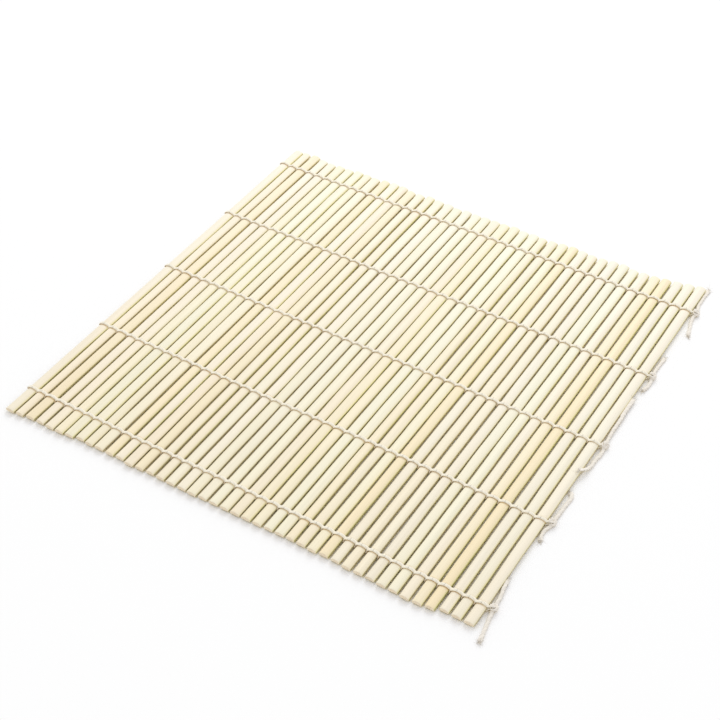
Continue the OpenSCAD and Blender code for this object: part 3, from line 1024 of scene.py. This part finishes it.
# The share of a tail's length at which it starts to loosen, and where along it a lean, and the cord's
# greater width, start and how long a way they take (mm)
LOOSE_FROM = 0.72
LEAN_FROM, LEAN_OVER = 3, 8
CORD_WIDER, CORD_FROM, CORD_OVER = 0.4, 14, 8
TAIL_WIDENS, TAIL_THICKENS, TAIL_WANDERS = (0, 0.12, 5), (1, 0.05, 4), (2, 0.12, 11)


def knot_parts(row):
    """A tight overhand knot of doubled string: a line that goes twice round a ring and three times
    through it, at (R + r cos 3t) (cos 2t, sin 2t) and height h r sin 3t, with two plied strings side
    by side."""
    centre = middle(KNOTS[row])
    rng = np.random.default_rng(600 + row)
    t = np.linspace(0, TURN, KNOT_RINGS)
    radial = np.stack([np.cos(2 * t), np.sin(2 * t), np.zeros_like(t)], axis=1)
    out = KNOT_RING + KNOT_THROUGH * np.cos(3 * t)
    rise = KNOT_TALL * KNOT_THROUGH * np.sin(3 * t)
    line = radial * out[:, None] + np.array([0, 0, 1.0]) * rise[:, None]
    waves = [ripple(np.cos(t) * 3 + i, 610 + 3 * row + i, 1, 5) for i in range(3)]
    line += KNOT_UNEVEN * np.stack(waves, axis=1)
    line[-1] = line[0]
    closed = np.concatenate([line[-2:-1], line, line[1:2]])
    ahead = unit(np.gradient(closed, axis=0)[1:-1])
    normal = radial * np.cos(3 * t)[:, None] + np.array([0, 0, 1.0]) * np.sin(3 * t)[:, None]
    beside = unit(np.cross(ahead, normal))
    turn = Matrix.Rotation(rng.uniform(0, TURN), 3, "Z")
    tilt = Matrix.Rotation(rng.uniform(-0.5, 0.5), 3, "X")
    lean = tilt @ Matrix.Rotation(0.5 + rng.uniform(-0.3, 0.3), 3, "Y")
    turned = np.array(lean @ turn)
    parts = []
    for side in (-1, 1):
        strand = line + KNOT_APART * side * beside
        run = length_along(strand)
        twist = TURN * KNOT_LOBE_TURNS * run / run[-1] + side
        rings = ring_about(
            strand, ahead, normal, KNOT_STRING, KNOT_SIDES, twist, lobes=2, groove=0.12)
        plies = KNOT_PLY_TURNS * run / run[-1]
        parts.append(tube(rings @ turned.T + centre, plies, loop=True))
    return parts


def ring_about(line, ahead, normal, radius, sides, twist, lobes, groove):
    """Round rings of that radius about a line, from the given normal, with a twisted string's
    lobes: the radius is times 1 - groove (1 - |cos(lobes (a - twist) / 2)|) at angle a."""
    second = unit(np.cross(normal, ahead))
    third = np.cross(ahead, second)
    a = np.arange(sides) * TURN / sides
    size = 1 - groove * (1 - np.abs(np.cos(lobes * (a - twist[:, None]) / 2)))
    around = np.cos(a)[None, :, None] * second[:, None] + np.sin(a)[None, :, None] * third[:, None]
    return line[:, None] + radius * around * size[..., None]


def fibre_parts(start, heading, count, reach, seed, thick=0.035, sides=3, spread=0.7, sag=0.35):
    """Loose fibres: each leaves a point of start about along heading and curls away on a cubic:
    point = start + t heading + t^2 bend + t^3 curl, thinning to its tip."""
    rng = np.random.default_rng(seed)
    t = np.linspace(0, 1, 5)[:, None]
    parts = []
    for i in range(count):
        at = start[rng.integers(len(start))] if start.ndim == 2 else start
        way = unit(heading[i % len(heading)] + rng.normal(0, spread, 3))
        length = reach * rng.uniform(0.5, 1.0)
        bend, curl = rng.normal(0, 0.3, 3), rng.normal(0, 0.2, 3)
        line = at + length * (t * way + t**2 * bend + t**3 * curl - t**2 * [0, 0, sag])
        line[:, 2] = np.clip(line[:, 2], thick, FIBRE_TOP)
        hint = np.array([0.0, 0.0, 1.0]) + 0.3 * rng.normal(0, 1, 3)
        width = thick * (1 - 0.75 * t[:, 0])
        parts.append(tube(carry(line, hint, width, width, sides), length * t[:, 0]))
    return parts


class ROLLINGMAT_OT_knots(bpy.types.Operator):
    """Ties the knot at the end of each row of string"""

    bl_idname = "rolling_mat.knots"
    bl_label = "Knots"

    def execute(self, context):
        look = context.scene.rolling_mat_string
        material = string_finish("Knotted cotton", look, look.knot_tint, 2, 0.0, 0.0)
        for row, node in enumerate(KNOTS):
            centre = middle(node)
            ways = unit(np.random.default_rng(700 + row).normal(0, 1, (40, 3)))
            ways[:, 2] = np.abs(ways[:, 2])
            fuzz = fibre_parts(centre + 1.2 * ways, ways, count=16, reach=1.4, seed=710 + row)
            made = put(f"{node}_overhand", knot_parts(row) + fuzz, material)
            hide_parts(node)
            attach(made, BODY_OF[node])
        return {"FINISHED"}


def tail_line(name):
    """The middle line of a tail, from inside its knot, in millimetres."""
    row = int(name.split("_")[1])
    knot = middle(f"knot_{row}")
    route = [(knot[0] + x, knot[1] + y, z) for x, y, z in TAIL_ROUTES[name]]
    side = 1 if name.endswith("far") else -1
    inside = (knot[0], knot[1] + 0.4 * side, 1.5)
    return curve_through([inside, *route], 0.3)


def tail_parts(name, seed):
    """A tail's line and shell: an oval string of two plies that widens and flattens towards its end,
    and that leans on the last slat where the list says so."""
    line = tail_line(name)
    run = length_along(line)
    share = run / run[-1]
    loose = smooth((share - LOOSE_FROM) / (1 - LOOSE_FROM))
    wide = TAIL_WIDE + TAIL_LOOSE * loose + wave_of(run, seed, TAIL_WIDENS)
    thick = TAIL_THICK - TAIL_LOOSE * loose + wave_of(run, seed, TAIL_THICKENS)
    line = line + np.stack([wave_of(run, seed, TAIL_WANDERS), 0 * run, 0 * run], axis=1)
    lean = smooth((run - LEAN_FROM) / LEAN_OVER)
    line = line + lean[:, None] * TAIL_LEANS.get(name, (0, 0, 0))
    if name == CORD_TAIL:
        wide = wide + CORD_WIDER * smooth((run - CORD_FROM) / CORD_OVER)
    twist = TURN * run / TAIL_TURN
    rings = carry(line, (1, 0, 0), wide, thick, 14, twist, lobes=2, groove=0.2)
    return line, tube(rings, run / TAIL_TURN)


class ROLLINGMAT_OT_tails(bpy.types.Operator):
    """Lays the frayed tails past each knot"""

    bl_idname = "rolling_mat.tails"
    bl_label = "Tails"

    def execute(self, context):
        look = context.scene.rolling_mat_string
        material = string_finish("Frayed cotton", look, look.knot_tint, 2, 0.0, 0.0)
        for i, name in enumerate(TAIL_ROUTES):
            node = f"knot_tails_{name.split('_')[1]}"
            line, part = tail_parts(name, 800 + 10 * i)
            made = put(name, [part], material)
            ahead = unit(line[-1] - line[-4])
            apart = np.random.default_rng(850 + i).normal(0, 0.2, (8, 3)) * [1, 1, 0.5]
            frayed = fibre_parts(
                line[-8:] + apart, ahead[None], count=26, reach=3.0, seed=900 + i, thick=0.16,
                sides=5, spread=0.28, sag=0.05)
            sideways = np.array([[1.0, 0, 0.2], [-1.0, 0, 0.2]])
            stray = fibre_parts(line[4:], sideways, count=16, reach=1.4, seed=950 + i, thick=0.04)
            fray = put(f"{name}_fray", frayed + stray, material)
            for piece in (made, fray):
                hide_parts(node)
                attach(piece, BODY_OF[node])
            if name == CORD_TAIL:
                tuple(line[0] * MM)
                (line * MM).tolist()
        return {"FINISHED"}


# Panel and start

OPERATORS = [
    ROLLINGMAT_OT_camera,
    ROLLINGMAT_OT_tails,
    ROLLINGMAT_OT_slats,
    ROLLINGMAT_OT_string_rows,
    ROLLINGMAT_OT_knots,
    ROLLINGMAT_OT_stage,
]
GROUPS = {
    "rolling_mat_slats": MatSlatLook,
    "rolling_mat_string": MatStringLook,
    "rolling_mat_stage": MatStageLook,
}


class ROLLINGMAT_PT_panel(bpy.types.Panel):
    """Lists the mat's settings and the steps that build it"""

    bl_idname = "ROLLINGMAT_PT_panel"
    bl_label = "Rolling mat"
    bl_space_type = "VIEW_3D"
    bl_region_type = "UI"
    bl_category = "Rolling mat"

    def draw(self, context):
        for key, group in GROUPS.items():
            box = self.layout.box()
            for name in group.__annotations__:
                box.prop(getattr(context.scene, key), name)
        for operator in OPERATORS:
            self.layout.operator(operator.bl_idname)


def register():
    for group in GROUPS.values():
        bpy.utils.register_class(group)
    for operator in OPERATORS:
        bpy.utils.register_class(operator)
    bpy.utils.register_class(ROLLINGMAT_PT_panel)
    for key, group in GROUPS.items():
        setattr(bpy.types.Scene, key, PointerProperty(type=group))


def unregister():
    for key in GROUPS:
        delattr(bpy.types.Scene, key)
    bpy.utils.unregister_class(ROLLINGMAT_PT_panel)
    for operator in reversed(OPERATORS):
        bpy.utils.unregister_class(operator)
    for group in reversed(GROUPS.values()):
        bpy.utils.unregister_class(group)


def main():
    register()
    for operator in OPERATORS:
        space, step = operator.bl_idname.split(".")
        getattr(getattr(bpy.ops, space), step)()


if __name__ == "__main__":
    main()
